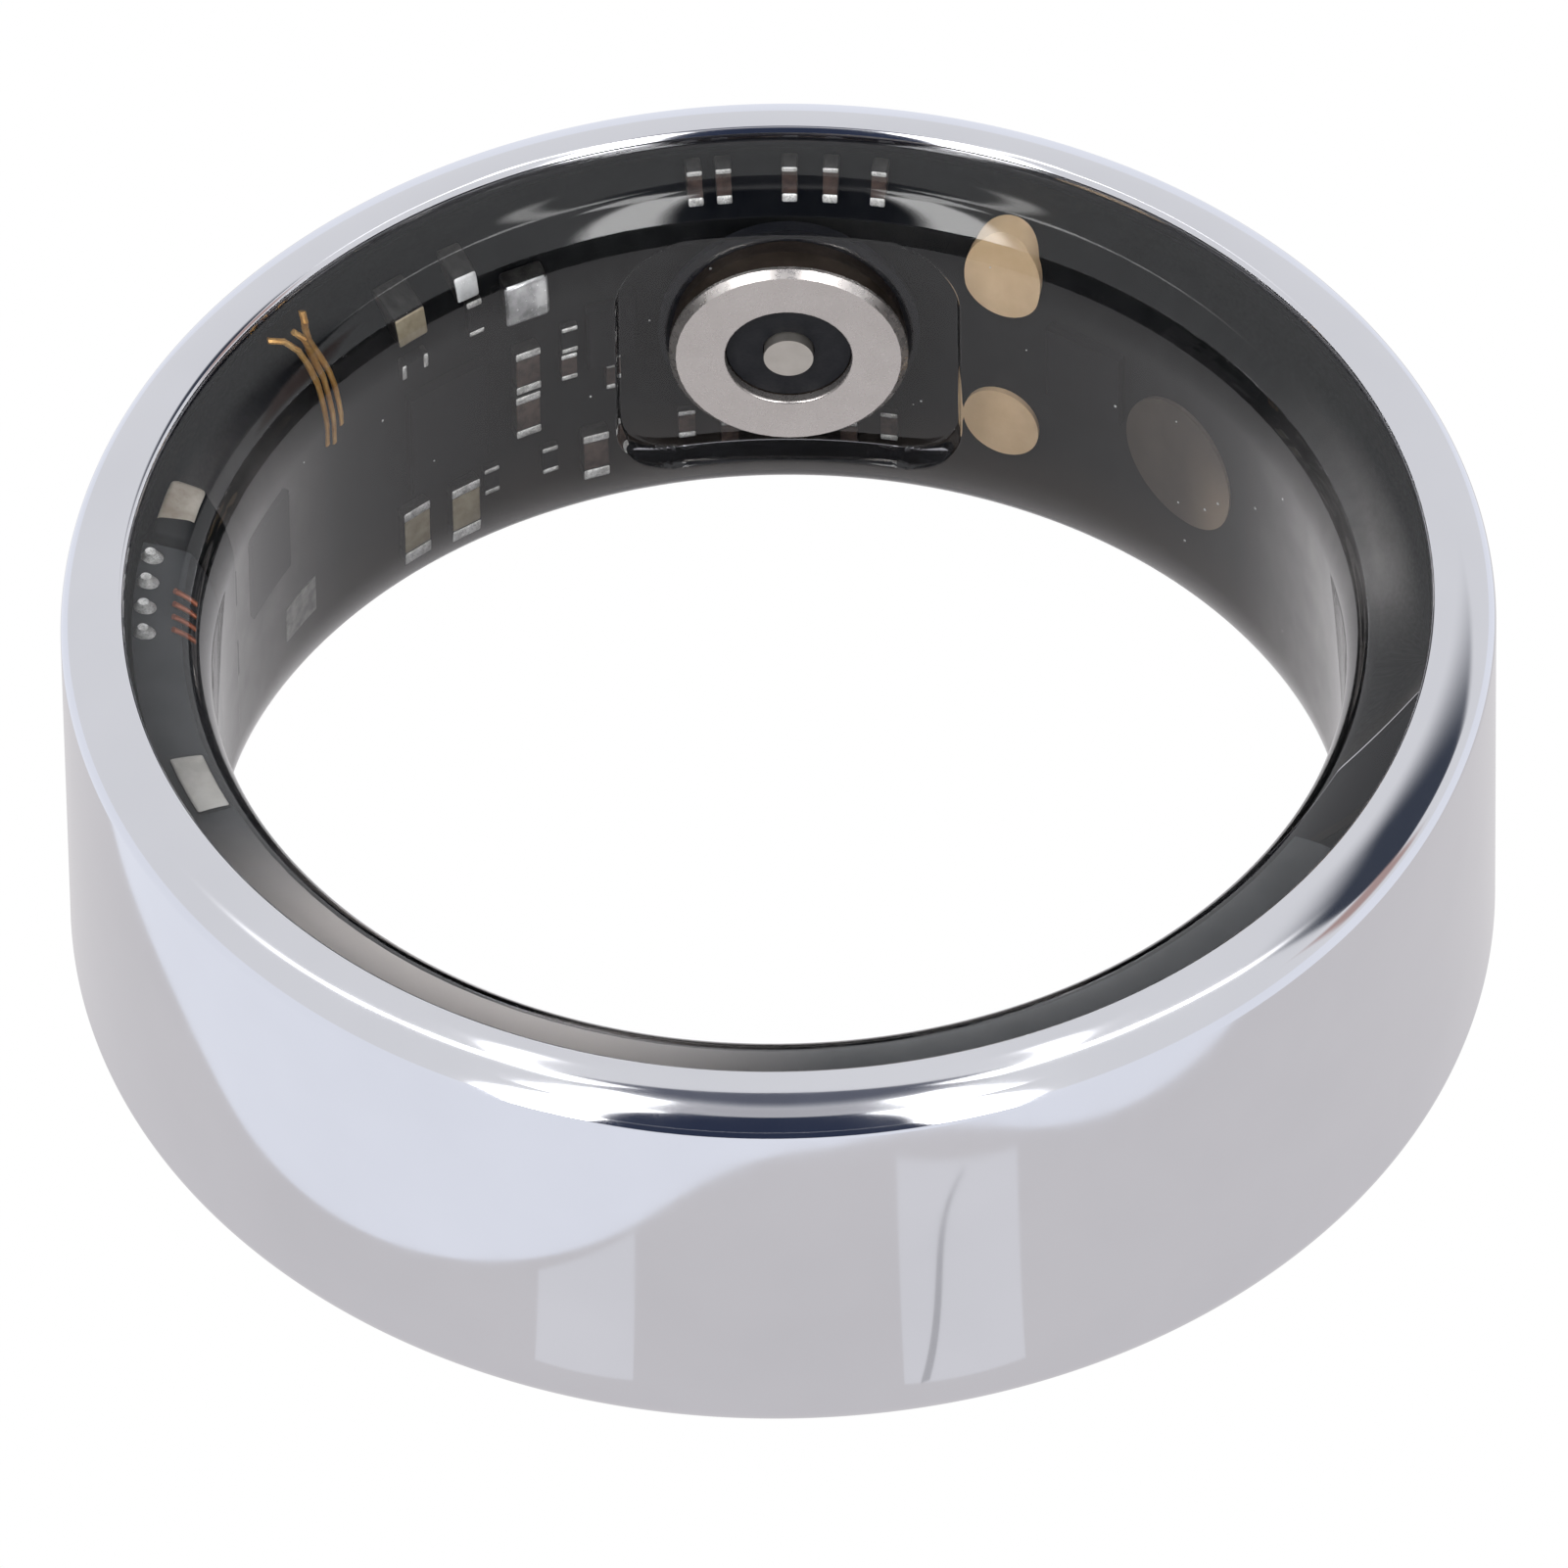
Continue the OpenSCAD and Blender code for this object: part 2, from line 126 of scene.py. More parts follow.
def turned(section, turn):
    """A section of (radius, height) points turned round Z, in degrees."""
    a = math.radians(turn)
    return [(r * math.cos(a), r * math.sin(a), z) for r, z in section]


def ring_mesh(name, sections, angle):
    """A closed mesh from its sections round the axis, with their points in mm."""
    n = len(sections[0])
    verts = [(x * MM, y * MM, z * MM) for section in sections for x, y, z in section]
    faces = []
    for k in range(len(sections)):
        k2 = (k + 1) % len(sections)
        for i in range(n):
            j = (i + 1) % n
            faces.append((k * n + i, k2 * n + i, k2 * n + j, k * n + j))
    mesh = bpy.data.meshes.new(name)
    mesh.from_pydata(verts, [], faces)
    bm = bmesh.new()
    bm.from_mesh(mesh)
    bmesh.ops.recalc_face_normals(bm, faces=bm.faces)
    smooth(bm, angle)
    bm.to_mesh(mesh)
    bm.free()
    return mesh


# Shader helpers

def new_material(name):
    """A material with an empty tree but for its output."""
    material = bpy.data.materials.new(name)
    material.use_nodes = True
    tree = material.node_tree
    tree.nodes.clear()
    out = tree.nodes.new("ShaderNodeOutputMaterial")
    return material, tree, out


def noise(tree, scale, detail=4.0, rough=0.55, stretch=(1, 1, 1)):
    """Noise in object space; scale is in waves per millimetre."""
    coord = tree.nodes.new("ShaderNodeTexCoord")
    mapping = tree.nodes.new("ShaderNodeMapping")
    mapping.inputs["Scale"].default_value = [s / MM for s in stretch]
    tex = tree.nodes.new("ShaderNodeTexNoise")
    tex.inputs["Scale"].default_value = scale
    tex.inputs["Detail"].default_value = detail
    tex.inputs["Roughness"].default_value = rough
    tree.links.new(coord.outputs["Object"], mapping.inputs["Vector"])
    tree.links.new(mapping.outputs["Vector"], tex.inputs["Vector"])
    return tex.outputs["Fac"]


def remap(tree, value, low, high, start=0.3, end=0.7):
    """A value taken from the range start to end into the range low to high."""
    node = tree.nodes.new("ShaderNodeMapRange")
    node.inputs["From Min"].default_value = start
    node.inputs["From Max"].default_value = end
    node.inputs["To Min"].default_value = low
    node.inputs["To Max"].default_value = high
    tree.links.new(value, node.inputs["Value"])
    return node.outputs["Result"]


def soft_step(tree, value, start, end):
    """A weight that rises softly from 0 to 1 while a value goes from start to end."""
    node = tree.nodes.new("ShaderNodeMapRange")
    node.interpolation_type = "SMOOTHSTEP"
    node.inputs["From Min"].default_value = start
    node.inputs["From Max"].default_value = end
    tree.links.new(value, node.inputs["Value"])
    return node.outputs["Result"]


def coordinate(tree, space, axis):
    """One coordinate of a place, in object space or in a card's shares."""
    coord = tree.nodes.new("ShaderNodeTexCoord")
    split = tree.nodes.new("ShaderNodeSeparateXYZ")
    tree.links.new(coord.outputs[space], split.inputs["Vector"])
    return split.outputs[axis]


def reach(tree, axis, start, end):
    """A weight that rises from 0 to 1 between two places on an axis, in mm."""
    return soft_step(tree, coordinate(tree, "Object", axis), start * MM, end * MM)


def combine(tree, operation, first, second):
    """Two values put together by a math operation."""
    node = tree.nodes.new("ShaderNodeMath")
    node.operation = operation
    tree.links.new(first, node.inputs[0])
    tree.links.new(second, node.inputs[1])
    return node.outputs[0]


def blend_colours(tree, value, dark, light, start=0.35, end=0.65):
    """A colour from dark to light while a value goes from start to end."""
    ramp = tree.nodes.new("ShaderNodeValToRGB")
    ramp.color_ramp.elements[0].position = start
    ramp.color_ramp.elements[0].color = (*dark, 1)
    ramp.color_ramp.elements[1].position = end
    ramp.color_ramp.elements[1].color = (*light, 1)
    tree.links.new(value, ramp.inputs["Fac"])
    return ramp.outputs["Color"]


def lay_over(tree, weight, below, colour):
    """A colour laid over another by a weight."""
    node = tree.nodes.new("ShaderNodeMix")
    node.data_type = "RGBA"
    tree.links.new(weight, node.inputs[0])
    tree.links.new(below, node.inputs[6])
    node.inputs[7].default_value = (*colour, 1)
    return node.outputs[2]


def bump(tree, height, strength, distance):
    """A normal from a height, its distance in mm."""
    node = tree.nodes.new("ShaderNodeBump")
    node.inputs["Strength"].default_value = strength
    node.inputs["Distance"].default_value = distance * MM
    tree.links.new(height, node.inputs["Height"])
    return node.outputs["Normal"]


def coat(tree, out, colour, roughness, metallic=0.0, sheen=0.5):
    """The shader of an opaque finish, from the nodes of its colour and roughness."""
    shader = tree.nodes.new("ShaderNodeBsdfPrincipled")
    shader.inputs["Metallic"].default_value = metallic
    shader.inputs["Specular IOR Level"].default_value = sheen
    tree.links.new(colour, shader.inputs["Base Color"])
    tree.links.new(roughness, shader.inputs["Roughness"])
    tree.links.new(shader.outputs["BSDF"], out.inputs["Surface"])
    return shader


def glow(tree, colour, strength):
    """An emission of one colour."""
    light = tree.nodes.new("ShaderNodeEmission")
    light.inputs["Color"].default_value = (*colour, 1)
    light.inputs["Strength"].default_value = strength
    return light.outputs["Emission"]


def mix_shaders(tree, out, weight, first, second):
    """The surface goes over from the first shader to the second by a weight."""
    mix = tree.nodes.new("ShaderNodeMixShader")
    tree.links.new(weight, mix.inputs["Fac"])
    tree.links.new(first, mix.inputs[1])
    tree.links.new(second, mix.inputs[2])
    tree.links.new(mix.outputs["Shader"], out.inputs["Surface"])


# Materials

def surface(name, dark, light, scale=3.0, metallic=0.0, rough=(0.35, 0.5), grain=0.3,
            depth=0.01, sheen=0.5):
    """A solid finish: two tones of a colour, roughness that varies, and a fine grain."""
    material, tree, out = new_material(name)
    fine = noise(tree, scale * 6, detail=2.0)
    shader = coat(tree, out, blend_colours(tree, noise(tree, scale), dark, light),
                  remap(tree, fine, rough[0], rough[1]), metallic, sheen)
    tree.links.new(bump(tree, fine, grain, depth), shader.inputs["Normal"])
    return material


def matt_rough(tree, scale):
    """The roughness of a matt face."""
    return remap(tree, noise(tree, scale, detail=2.0), 0.4, 0.55)


def board_mask():
    """Black solder mask, browner towards the bottom, with painted light greying it to both sides.
    """
    material, tree, out = new_material("board_mask")
    colour = blend_colours(tree, noise(tree, 2.0), (0.006, 0.0065, 0.007), (0.011, 0.0115, 0.012))
    low = reach(tree, "Z", -1.6, -3.2)
    colour = lay_over(tree, low, colour, (0.030, 0.024, 0.020))
    # Painted light: a mottled pale grey on both sides of the board, standing in for floor light
    # that the moulding brings in; haze is its weight.
    right = combine(tree, "MULTIPLY", reach(tree, "X", 8.4, 11.0), reach(tree, "Y", 0.5, 3.0))
    sides = combine(tree, "MAXIMUM", right, reach(tree, "X", -8.2, -11.0))
    haze = combine(tree, "MULTIPLY", sides, reach(tree, "Z", 2.6, 0.6))
    mottle = remap(tree, noise(tree, 0.8, detail=6.0), 0.6, 1.0)
    haze = combine(tree, "MULTIPLY", haze, mottle)
    colour = lay_over(tree, haze, colour, (0.40, 0.38, 0.365))
    coat(tree, out, colour, matt_rough(tree, 12.0), sheen=0.1)
    return material


def pouch_foil():
    """The cell's foil, with painted light warming its front and left, where the near rim gathers
    light.
    """
    material, tree, out = new_material("pouch_grey")
    colour = blend_colours(tree, noise(tree, 1.0), (0.035, 0.037, 0.040), (0.055, 0.057, 0.060))
    # Painted light: a pale warm colour laid on the foil's front and left.
    front = combine(tree, "MULTIPLY", reach(tree, "Y", -4.5, -8.0), reach(tree, "X", 1.5, -4.5))
    colour = lay_over(tree, front, colour, (0.60, 0.55, 0.51))
    coat(tree, out, colour, matt_rough(tree, 6.0), sheen=0.2)
    return material


def window_bronze():
    """The dim disc, with a painted highlight in a crescent at its lower right."""
    material, tree, out = new_material("dim_bronze")
    colour = blend_colours(tree, noise(tree, 1.5), (0.066, 0.053, 0.041), (0.086, 0.069, 0.055))
    # Painted highlight: a light crescent at the disc's lower right.
    crescent = combine(tree, "MULTIPLY", reach(tree, "X", 7.2, 8.4), reach(tree, "Z", 0.8, -1.6))
    colour = lay_over(tree, crescent, colour, (0.34, 0.26, 0.18))
    coat(tree, out, colour, matt_rough(tree, 9.0), sheen=0.2)
    return material


def polished_metal():
    """Mirror polish with a slow change of tone and a breath of haze."""
    material, tree, out = new_material("polished_metal")
    tone = noise(tree, 0.25, detail=3.0)
    haze = noise(tree, 1.2, detail=6.0)
    coat(tree, out, blend_colours(tree, tone, (0.71, 0.71, 0.74), (0.735, 0.735, 0.765)),
         remap(tree, haze, 0.06, 0.09), metallic=1.0)
    return material


def smoked_resin():
    """Clear resin with a light smoke; lamps pass it as tinted shade."""
    material, tree, out = new_material("smoked_resin")
    glass = tree.nodes.new("ShaderNodeBsdfPrincipled")
    glass.inputs["Transmission Weight"].default_value = 1.0
    glass.inputs["IOR"].default_value = 1.5
    tint = blend_colours(tree, noise(tree, 0.3), (0.80, 0.81, 0.84), (0.85, 0.86, 0.88))
    tree.links.new(tint, glass.inputs["Base Color"])
    tree.links.new(remap(tree, noise(tree, 1.5), 0.0, 0.003), glass.inputs["Roughness"])
    clear = tree.nodes.new("ShaderNodeBsdfTransparent")
    tree.links.new(tint, clear.inputs["Color"])
    path = tree.nodes.new("ShaderNodeLightPath")
    mix_shaders(tree, out, path.outputs["Is Shadow Ray"], glass.outputs["BSDF"],
                clear.outputs["BSDF"])
    return material


METAL = polished_metal()
RESIN = smoked_resin()
PRIMER = surface("dark_primer", (0.006, 0.006, 0.007), (0.010, 0.010, 0.012), rough=(0.5, 0.7),
                 sheen=0.1)
BOARD = board_mask()
CONTACT = surface("contact_face", (0.56, 0.525, 0.505), (0.60, 0.565, 0.545), scale=1.2,
                  metallic=0.85, rough=(0.24, 0.32), grain=0.1, depth=0.002)
# Painted shade: the contact's metal made dark brown on the back of its side.
CONTACT_SIDE = surface("contact_side", (0.035, 0.026, 0.020), (0.06, 0.045, 0.035), scale=2.0,
                       metallic=0.4, rough=(0.3, 0.45), sheen=0.2)
INSULATOR = surface("insulator_black", (0.010, 0.011, 0.015), (0.016, 0.017, 0.021),
                    rough=(0.4, 0.55), sheen=0.2)
PIN = surface("pin_nickel", (0.50, 0.47, 0.43), (0.56, 0.53, 0.49), scale=2.0, metallic=0.8,
              rough=(0.28, 0.36), grain=0.1, depth=0.002)
CHIP = surface("moulded_black", (0.006, 0.006, 0.007), (0.010, 0.010, 0.011), scale=8.0,
               rough=(0.45, 0.6), sheen=0.1)
# Painted shade: this dark finish goes on the sides of chips, terminals and crystal; the cell tabs
# take it all over.
SIDE = surface("painted_side_shade_and_cell_tabs", (0.020, 0.019, 0.018), (0.045, 0.043, 0.040), scale=5.0,
               metallic=0.2, rough=(0.35, 0.5), sheen=0.2)
SILVER = surface("tinned_silver", (0.50, 0.49, 0.46), (0.95, 0.94, 0.90), scale=6.0,
                 metallic=0.25, rough=(0.22, 0.36), grain=0.5, depth=0.02)
LID = surface("crystal_lid", (0.30, 0.30, 0.30), (0.90, 0.90, 0.88), scale=2.2, metallic=0.5,
              rough=(0.18, 0.28))
TAN = surface("ceramic_tan", (0.30, 0.25, 0.165), (0.42, 0.36, 0.25), scale=4.0,
              rough=(0.4, 0.55), sheen=0.3)
BROWN = surface("ceramic_brown", (0.045, 0.030, 0.025), (0.10, 0.066, 0.052), scale=5.0,
                rough=(0.4, 0.55), sheen=0.3)
WHITE = surface("white_terminal", (0.62, 0.62, 0.60), (0.92, 0.92, 0.90), scale=3.0,
                rough=(0.3, 0.42))
GOLD = surface("matt_gold", (0.66, 0.47, 0.27), (0.74, 0.54, 0.33), scale=1.5,
               metallic=0.1, rough=(0.45, 0.6), grain=0.2, sheen=0.3)
BRONZE = window_bronze()
CREAM = surface("block_cream", (0.42, 0.40, 0.36), (0.58, 0.56, 0.51), scale=2.0,
                rough=(0.4, 0.55), sheen=0.3)
PALE = surface("pad_pale", (0.20, 0.195, 0.185), (0.46, 0.45, 0.42), scale=4.0,
               rough=(0.4, 0.55), sheen=0.3)
POUCH = pouch_foil()
FILM = surface("film_amber", (0.02, 0.014, 0.008), (0.035, 0.024, 0.012), scale=1.0,
               rough=(0.4, 0.55), sheen=0.1)
TAPE = surface("tape_tan", (0.30, 0.25, 0.19), (0.62, 0.57, 0.49), scale=1.1,
               rough=(0.25, 0.4))
ADHESIVE = surface("adhesive_grey", (0.012, 0.012, 0.011), (0.02, 0.02, 0.018),
                   rough=(0.6, 0.8), sheen=0.1)
COPPER = surface("enamelled_copper", (0.30, 0.09, 0.045), (0.42, 0.15, 0.08), scale=3.0,
                 metallic=0.5, rough=(0.3, 0.4))
ENAMEL = surface("wire_enamel", (0.62, 0.30, 0.06), (0.86, 0.52, 0.18), scale=3.0,
                 metallic=0.4, rough=(0.28, 0.4))

FINISH = {
    "insulation_film": FILM, "flex_board": BOARD, "contact_ring": CONTACT,
    "contact_insulator": INSULATOR, "contact_pin": PIN, "main_chip": CHIP,
    "charge_chip": CHIP, "motion_sensor": CHIP, "sensor_chip": CHIP, "crystal": LID,
    "ceramic_filter": TAN, "antenna_terminal": WHITE, "bulk_capacitors": TAN,
    "chip_capacitors": BROWN, "edge_capacitors": BROWN, "chip_resistors": CHIP,
    "small_capacitors": BROWN, "end_terminals": SILVER, "light_windows": GOLD,
    "photodiode_window": BRONZE, "test_pad": PALE, "solder_pads": SILVER,
    "battery_cell": POUCH, "cell_adhesive": ADHESIVE, "cell_tabs": SIDE,
    "protection_module": TAPE, "antenna_block": CREAM, "copper_leads": COPPER,
    "enamel_wires": ENAMEL,
}


def dress_nodes():
    """Gives each solid of the frame its finish."""
    for node, material in FINISH.items():
        slots = NODES[node].data.materials
        if len(slots) == 0:
            slots.append(material)
        for i in range(len(slots)):
            slots[i] = material


# The metal band

def band_end():
    """Section of the band's upper end: round edge, crown that falls off, flat, lip."""
    crown_w = LIP_T - FLAT_W - EDGE_R * (1 - math.sin(OUTER_SLOPE))
    low, high = math.tan(INNER_SLOPE), math.tan(OUTER_SLOPE)

    def fall(t):
        return crown_w * t * (low + (high - low) * t / 2)

    edge_z = HALF_W - fall(1) - EDGE_R * math.cos(OUTER_SLOPE)
    section = arc(OUTER_R - EDGE_R, edge_z, EDGE_R, 0, 90 - math.degrees(OUTER_SLOPE), CURVE_STEPS)
    for i in range(CURVE_STEPS - 1, -1, -1):
        t = i / CURVE_STEPS
        section.append((LIP_R + FLAT_W + crown_w * t, HALF_W - fall(t)))
    return section + arc(LIP_R + LIP_SOFT, HALF_W - LIP_SOFT, LIP_SOFT, 90, 180, LIP_STEPS)


def make_shell():
    """The polished band, primed dark in the channel between its lips."""
    section = band_end()
    section += [(LIP_R, RIM_H), (LIP_R, HALF_W - LIP_W), (CHANNEL_R, HALF_W - LIP_W)]
    section += [(r, -z) for r, z in reversed(section)]
    sections = [turned(section, 360 * k / BAND_STEPS) for k in range(BAND_STEPS)]
    mesh = ring_mesh("band_polished", sections, 30)
    mesh.materials.append(METAL)
    mesh.materials.append(PRIMER)
    for face in mesh.polygons:
        r = math.hypot(face.center.x, face.center.y) / MM
        inside = r < CHANNEL_R + NEAR and abs(face.center.z) / MM < RIM_H
        face.material_index = 1 if inside else 0
    piece = add_piece("band_polished", mesh)
    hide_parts("outer_shell")


# The smoked moulding

def comfort_end():
    """Section of the moulding's upper end, from the lip to the top of the bore wall."""
    rim = LIP_R + BOND
    sin_lead, sin_crown = math.sin(LEAD_IN_SLOPE), math.sin(COMFORT_SLOPE)
    lead_w = LEAD_IN_R * (1 - sin_lead)
    crown_w = rim - BORE_R - lead_w - COMFORT_EDGE_R * (sin_lead - sin_crown)
    whole_fall = crown_w * math.tan(COMFORT_SLOPE) / 2
    section = []
    for i in range(CURVE_STEPS):
        t = i / CURVE_STEPS
        section.append((rim - crown_w * t, RIM_H - whole_fall * t * t))
    round_r = BORE_R + lead_w + COMFORT_EDGE_R * sin_lead
    round_z = RIM_H - whole_fall - COMFORT_EDGE_R * math.cos(COMFORT_SLOPE)
    lead_z = round_z + (COMFORT_EDGE_R - LEAD_IN_R) * math.cos(LEAD_IN_SLOPE)
    meet = 90 + math.degrees(LEAD_IN_SLOPE)
    section += arc(round_r, round_z, COMFORT_EDGE_R, 90 + math.degrees(COMFORT_SLOPE), meet,
                   CURVE_STEPS)
    return section + arc(BORE_R + LEAD_IN_R, lead_z, LEAD_IN_R, meet, 180, CURVE_STEPS)[1:]


def recess_depth(x, z):
    """Depth of the contact's recess at a place on the bore wall, in mm."""
    dx = abs(x) - (RECESS_W / 2 - RECESS_CORNER)
    dz = abs(z) - (RECESS_H / 2 - RECESS_CORNER)
    outside = math.hypot(max(dx, 0), max(dz, 0)) + min(max(dx, dz), 0) - RECESS_CORNER
    t = min(max(-outside / RECESS_WALL, 0), 1)
    return RECESS_DEPTH * t * t * (3 - 2 * t)


def make_liner():
    """The moulding: comfort curves at both ends, a straight bore wall and the recess in it."""
    rows = comfort_end()
    top = rows[-1][1]
    inner = rows + [(BORE_R, top - 2 * top * i / BORE_ROWS) for i in range(1, BORE_ROWS)]
    inner += [(r, -z) for r, z in reversed(rows)]
    rim, back, step = LIP_R + BOND, CHANNEL_R + BOND, HALF_W - LIP_W + BOND
    outer = [(rim, -step), (back, -step), (back, step), (rim, step)]
    sections = []
    turn = 0.0
    while turn < 360:
        cosine, sine = math.cos(math.radians(turn)), math.sin(math.radians(turn))
        wall = inner
        if sine > RECESS_SINE:
            wall = [(r + recess_depth(r * cosine, z) / sine, z) for r, z in inner]
        sections.append(turned(wall + outer, turn))
        turn += FINE_TURN if RECESS_TURNS[0] <= turn < RECESS_TURNS[1] else COARSE_TURN
    mesh = ring_mesh("moulding_smoked", sections, 40)
    mesh.materials.append(RESIN)
    piece = add_piece("moulding_smoked", mesh)
    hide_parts("resin_liner")


# Small parts, taken over from their solids with broken edges and a finish for each side, their
# darker sides painted shade

TAPE_END = 2.2                   # the module's top takes the tape's finish beyond this place along Y, in mm
CONTACT_FRONT = 9.72             # in front of this place the contact's side is bright, behind it dark as painted shade, in mm
SHARP = 50                       # edges past this angle are rounded, in degrees


def solid_of(node):
    """A node's solid as an editable mesh in the frame, its flat faces whole."""
    bm = bmesh.new()
    bm.from_mesh(NODES[node].data)
    bm.transform(NODES[node].matrix_world)
    bmesh.ops.remove_doubles(bm, verts=bm.verts, dist=0.001 * MM)
    bmesh.ops.dissolve_limit(bm, angle_limit=math.radians(1), verts=bm.verts, edges=bm.edges)
    return bm


def break_edges(bm, size, segments=3, keep=None):
    """Rounds the sharp edges by a size in mm, all of them or those that keep says."""
    sharp = [edge for edge in bm.edges if len(edge.link_faces) == 2
             and edge.calc_face_angle(0.0) > math.radians(SHARP)
             and (keep is None or keep(edge))]
    bmesh.ops.bevel(bm, geom=sharp, offset=size * MM, segments=segments, profile=0.5,
                    affect="EDGES", clamp_overlap=True)


def cut_at(bm, y):
    """Cuts the faces at a place along Y, in mm, so that a finish can end there."""
    bmesh.ops.bisect_plane(bm, geom=bm.verts[:] + bm.edges[:] + bm.faces[:],
                           plane_co=(0, y * MM, 0), plane_no=(0, 1, 0))


def finish_solid(bm, name, node, finishes, pick):
    """Makes the piece; pick gives the place in finishes for a face's centre and normal."""
    mesh = bpy.data.meshes.new(name)
    bmesh.ops.recalc_face_normals(bm, faces=bm.faces)
    for material in finishes:
        mesh.materials.append(material)
    for face in bm.faces:
        face.material_index = pick(face.calc_center_median(), face.normal)
    smooth(bm, 40)
    bm.to_mesh(mesh)
    bm.free()
    piece = add_piece(name, mesh)
    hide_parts(node)


def all_alike(centre, normal):
    """One finish all over."""
    return 0


def inner_bright(centre, normal):
    """The first finish where a face looks towards the ring's axis; elsewhere the second, darker
    one, as painted shade.
    """
    r = math.hypot(centre.x, centre.y)
    towards = -(centre.x * normal.x + centre.y * normal.y) / r
    return 0 if towards > 0.55 else 1


def top_bright(centre, normal):
    """The first finish on top; on the other faces the second, darker one, as painted shade."""
    return 0 if normal.z > 0.5 else 1


def taped(centre, normal):
    """The first finish on top beyond TAPE_END along Y; the rest of the top and, as painted shade,
    the sides take the second.
    """
    return 0 if normal.z > 0.4 and centre.y / MM > TAPE_END else 1


def contact_faces(centre, normal):
    """The first finish on the contact's face and the front of its side; the rest of the side takes
    the second, as painted shade.
    """
    return 0 if centre.y / MM < CONTACT_FRONT else 1


def at_contact_front(edge):
    return all(vert.co.y / MM < CONTACT_FRONT for vert in edge.verts)


def dress_parts():
    """Chips, terminals, module and block: what faces the eye keeps its light finish, and their
    sides are dark, as painted shade.
    """
    for node, finishes, size, pick in (
            ("end_terminals", (SILVER, SIDE), 0.035, inner_bright),
            ("bulk_capacitors", (TAN, SIDE), 0.03, inner_bright),
            ("chip_capacitors", (BROWN, SIDE), 0.03, inner_bright),
            ("ceramic_filter", (TAN, SIDE), 0.04, inner_bright),
            ("antenna_terminal", (WHITE, SIDE), 0.05, inner_bright),
            ("crystal", (LID, SIDE), 0.12, inner_bright),
            ("antenna_block", (CREAM, BOARD), 0.05, top_bright)):
        bm = solid_of(node)
        break_edges(bm, size)
        finish_solid(bm, node + "_dressed", node, finishes, pick)
    bm = solid_of("protection_module")
    break_edges(bm, 0.12)
    cut_at(bm, TAPE_END)
    finish_solid(bm, "protection_module_dressed", "protection_module", (TAPE, BOARD), taped)
    for node, finish in (("enamel_wires", ENAMEL), ("copper_leads", COPPER),
                         ("solder_pads", SILVER)):
        finish_solid(solid_of(node), node + "_round", node, (finish,), all_alike)
    bm = solid_of("contact_ring")
    break_edges(bm, 0.05, segments=4, keep=at_contact_front)
    cut_at(bm, CONTACT_FRONT)
    finish_solid(bm, "contact_ring_turned", "contact_ring", (CONTACT, CONTACT_SIDE),
                 contact_faces)


# Dust and small bubbles just behind the bore wall

DUST_COUNT = 26
DUST_TURNS = (25, 150)           # where the specks lie round the ring, in degrees
DUST_DEPTHS = (0.5, 1.0)         # behind the bore wall, in mm
DUST_HEIGHTS = (-2.3, 2.3)       # mm
DUST_SIZES = (0.012, 0.035)      # radius, in mm


def make_dust():
    """A few pale specks, the same on each run."""
    chance = random.Random(7)
    bm = bmesh.new()
    for _ in range(DUST_COUNT):
        a = math.radians(chance.uniform(*DUST_TURNS))
        r = BORE_R + chance.uniform(*DUST_DEPTHS)
        z = chance.uniform(*DUST_HEIGHTS)
        size = chance.uniform(*DUST_SIZES)
        place = Matrix.Translation((r * math.cos(a) * MM, r * math.sin(a) * MM, z * MM))
        bmesh.ops.create_icosphere(bm, subdivisions=1, radius=size * MM, matrix=place)
    mesh = bpy.data.meshes.new("dust_specks")
    bm.to_mesh(mesh)
    bm.free()
    mesh.shade_smooth()
    mesh.materials.append(WHITE)
    add_piece("dust_specks", mesh)


# Camera, fitted to the outlines of band and bore

TURN = math.radians(1.5)         # the contact sits this far left of the middle
ELEVATION = 0.8049               # radians
ROLL = -0.0162                   # radians
DISTANCE = 50 * OUTER_R * MM     # a long lens, almost without perspective
IMAGE_W = 1601
SCALE = 729.49                   # pixels per outer radius at the middle
SHIFT_X, SHIFT_Z = 0.0043, -0.0588       # of the place that it looks at, in outer radii


def make_camera():
    """The photograph's view, from the front and above."""
    turn = Matrix.Rotation(TURN, 3, "Z")
    forward = turn @ Vector((0, math.cos(ELEVATION), -math.sin(ELEVATION)))
    right = turn @ Vector((1, 0, 0))
    up = turn @ Vector((0, math.sin(ELEVATION), math.cos(ELEVATION)))
    cam_right = math.cos(ROLL) * right + math.sin(ROLL) * up
    cam_up = math.cos(ROLL) * up - math.sin(ROLL) * right
    target = turn @ Vector((SHIFT_X, 0, SHIFT_Z)) * OUTER_R * MM
    data = bpy.data.cameras.new("camera")
    data.sensor_width = 36
    data.lens = SCALE * (DISTANCE / (OUTER_R * MM)) * data.sensor_width / IMAGE_W
    data.clip_start, data.clip_end = 0.01, 10
    camera = bpy.data.objects.new("camera", data)
    scene.collection.objects.link(camera)
    pose = Matrix((cam_right, cam_up, -forward)).transposed().to_4x4()
    pose.translation = target - forward * DISTANCE
    camera.matrix_world = pose
    scene.camera = camera


# Floor, and what lies on it for the band to mirror: places in mm, cards apart in height

